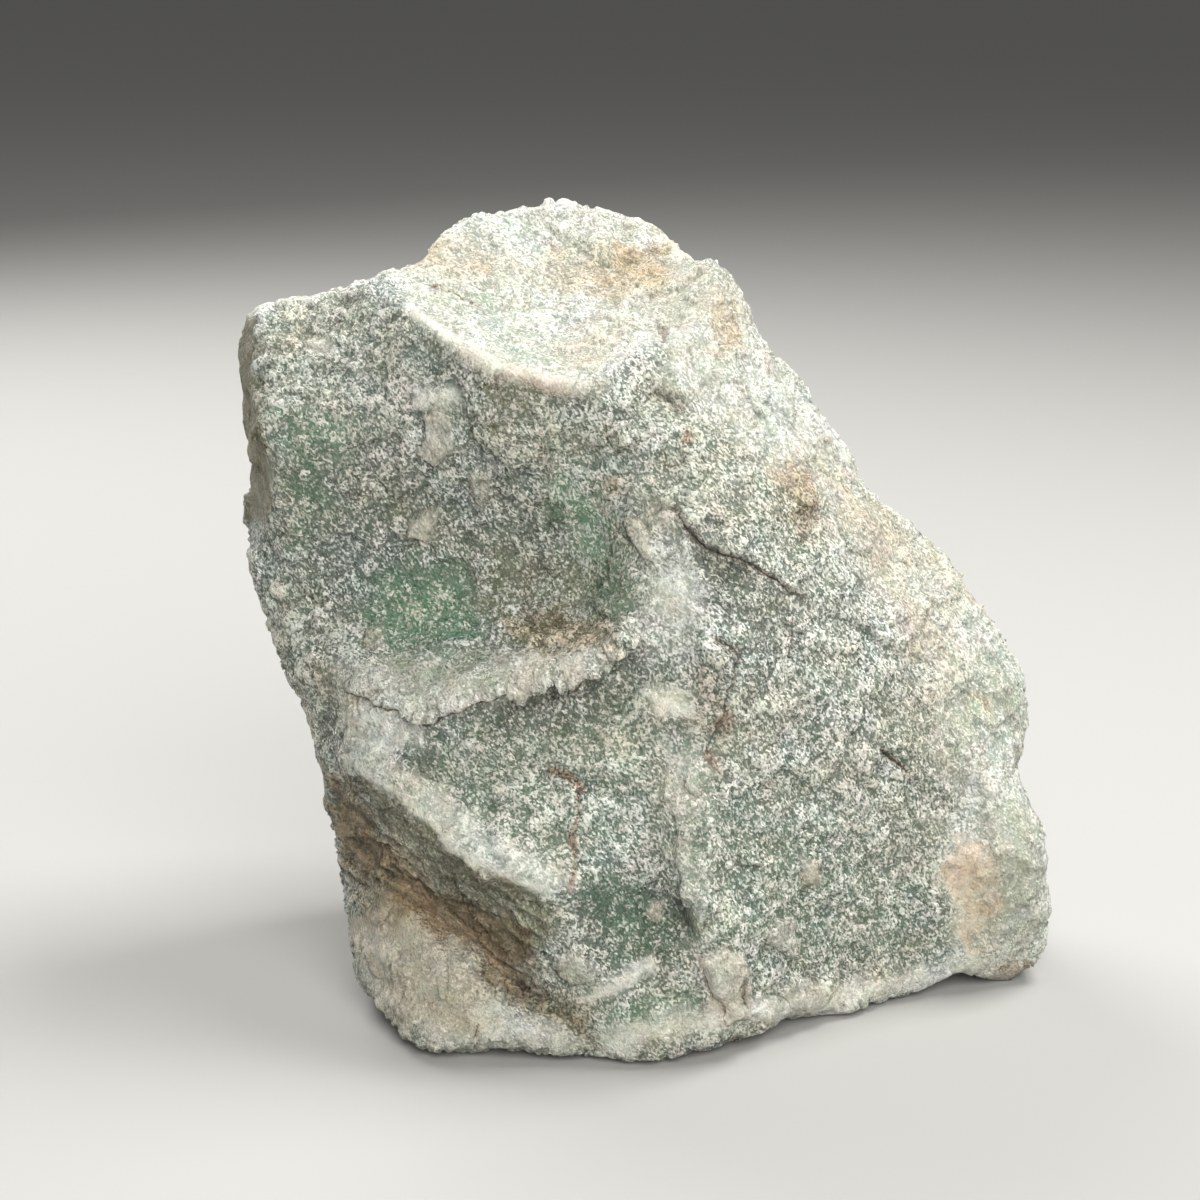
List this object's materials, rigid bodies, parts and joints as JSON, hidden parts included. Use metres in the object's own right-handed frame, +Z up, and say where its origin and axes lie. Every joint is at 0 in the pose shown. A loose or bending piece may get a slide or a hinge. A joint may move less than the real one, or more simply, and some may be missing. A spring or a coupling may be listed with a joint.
{
  "type": "raw aventurine",
  "caption": "Rough upright lump of pale green aventurine quartzite with broken faces, a hollow, ledges and a bowl-shaped top, on a flat underside.",
  "frame": {"origin": "middle of the lump's footprint, on the surface that it stands on", "axes": "+X to the right as seen from the hollowed front, along the longest side; +Y through the lump from the hollowed front to the back, along the shortest side; +Z up"},
  "size_m": [0.1648, 0.1048, 0.1549],
  "materials": {
    "quartzite": "broken, unpolished, sugary quartz grain in pale grey-green with rusty stains"
  },
  "bodies": {
    "root": {"stone": "quartzite"}
  },
  "joints": []
}
